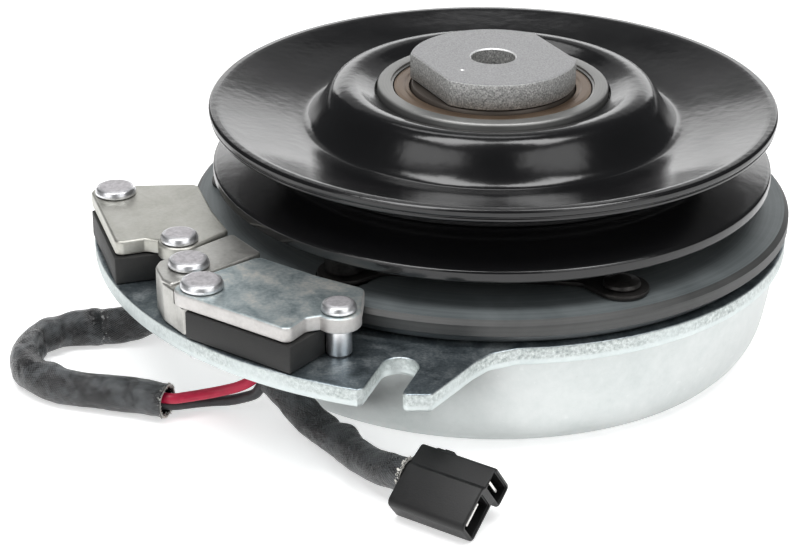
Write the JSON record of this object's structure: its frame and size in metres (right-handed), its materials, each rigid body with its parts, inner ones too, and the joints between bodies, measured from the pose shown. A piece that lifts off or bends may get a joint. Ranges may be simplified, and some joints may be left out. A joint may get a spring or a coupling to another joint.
{
  "type": "electromagnetic clutch",
  "caption": "Electromagnetic clutch with a V-belt pulley, leaf-sprung armature, magnet brake shoes, keyed hub, field cup and a sleeved coil lead.",
  "frame": {"origin": "on the shaft axis, in the plane of the field cup's flat base, where the hub meets the crankshaft", "axes": "+Z along the shaft axis from the field cup to the hub's bolt seat; the plate's brake lobe points towards -X and -Y and its slot opens near -Y"},
  "size_m": [0.2079, 0.2028, 0.0782],
  "materials": {
    "black_paint": "gloss black paint over drawn steel",
    "sintered_steel": "grey sintered steel, matt and lightly speckled",
    "dark_steel": "dark phosphated steel, satin",
    "bearing_steel": "ground bearing steel, satin",
    "shield_bronze": "brown bronze-coloured bearing shield",
    "bright_zinc": "bright zinc plating",
    "brake_zinc": "blotchy grey zinc plating",
    "rivet_steel": "polished plated steel",
    "spring_steel": "dark spring steel",
    "magnet_ferrite": "dark grey ferrite, smooth",
    "friction_lining": "moulded friction lining",
    "copper": "enamelled copper wire",
    "bobbin_plastic": "natural nylon",
    "epoxy": "black potting resin",
    "rubber": "black rubber",
    "woven_sleeve": "black coated woven sleeving with frayed white ends",
    "red_insulation": "red wire insulation",
    "black_insulation": "black wire insulation",
    "connector_plastic": "black nylon",
    "tinned_brass": "tinned brass"
  },
  "bodies": {
    "field": {"field_bearing_outer_race": "bearing_steel", "field_bearing_shield_top": "shield_bronze", "field_bearing_shield_bottom": "shield_bronze", "field_cup": "bright_zinc", "field_core": "sintered_steel", "bearing_snap_ring": "spring_steel", "coil_bobbin": "bobbin_plastic", "coil_winding": "copper", "coil_potting": "epoxy", "lead_grommet": "rubber", "mounting_plate": "bright_zinc", "brake_plate_right": "brake_zinc", "brake_plate_left": "brake_zinc", "brake_bracket": "brake_zinc", "brake_magnet_right": "magnet_ferrite", "brake_magnet_left": "magnet_ferrite", "lead_sleeve_first": "woven_sleeve", "lead_sleeve_second": "woven_sleeve", "lead_wire_red": "red_insulation", "lead_wire_black": "black_insulation", "connector_housing": "connector_plastic", "terminal_upright": "tinned_brass", "terminal_lying": "tinned_brass", "brake_rivet_right_long": "rivet_steel", "brake_rivet_right_short": "rivet_steel", "brake_rivet_left_long": "rivet_steel", "brake_rivet_left_short": "rivet_steel", "brake_rivet_centre": "rivet_steel"},
    "rotor_body": {"hub_shaft": "sintered_steel", "rotor": "dark_steel", "friction_ring": "friction_lining", "shaft_snap_ring": "spring_steel", "pulley_bearing_inner_race": "bearing_steel", "field_bearing_inner_race": "bearing_steel"},
    "pulley_body": {"pulley_upper_sheave": "black_paint", "pulley_lower_sheave": "black_paint", "pulley_bearing_housing": "black_paint", "pulley_bearing_outer_race": "bearing_steel", "pulley_bearing_shield_top": "shield_bronze", "pulley_bearing_shield_bottom": "shield_bronze", "leaf_spring_1": "spring_steel", "leaf_spring_2": "spring_steel", "leaf_spring_3": "spring_steel", "spring_stud_1": "spring_steel", "spring_stud_2": "spring_steel", "spring_stud_3": "spring_steel"},
    "armature_body": {"armature": "dark_steel", "armature_rivet_1": "spring_steel", "armature_rivet_2": "spring_steel", "armature_rivet_3": "spring_steel"},
    "field_bearing_cage": {"field_ball_row": "bearing_steel"},
    "pulley_bearing_cage": {"pulley_ball_row_lower": "bearing_steel", "pulley_ball_row_upper": "bearing_steel"}
  },
  "joints": [
    {"name": "rotor_spin", "type": "hinge", "parent": "field", "child": "rotor_body", "pos_m": [0, 0, 0.0106], "axis": [0, 0, 1], "continuous": true},
    {"name": "field_cage_spin", "type": "hinge", "parent": "field", "child": "field_bearing_cage", "pos_m": [0, 0, 0.0106], "axis": [0, 0, 1], "continuous": true},
    {"name": "pulley_spin", "type": "hinge", "parent": "rotor_body", "child": "pulley_body", "pos_m": [0, 0, 0.0603], "axis": [0, 0, 1], "continuous": true},
    {"name": "pulley_cage_spin", "type": "hinge", "parent": "rotor_body", "child": "pulley_bearing_cage", "pos_m": [0, 0, 0.0603], "axis": [0, 0, 1], "continuous": true},
    {"name": "armature_pull", "type": "slide", "parent": "pulley_body", "child": "armature_body", "axis": [0, 0, -1], "range_m": [0, 0.0004], "stiffness_N_per_m": 20000, "springref_m": -0.0006, "deforming": ["leaf_spring_1", "leaf_spring_2", "leaf_spring_3"]}
  ],
  "couplings": [
    {"joint": "field_cage_spin", "follows": "rotor_spin", "ratio": 0.4342},
    {"joint": "pulley_cage_spin", "follows": "pulley_spin", "ratio": 0.5658}
  ]
}
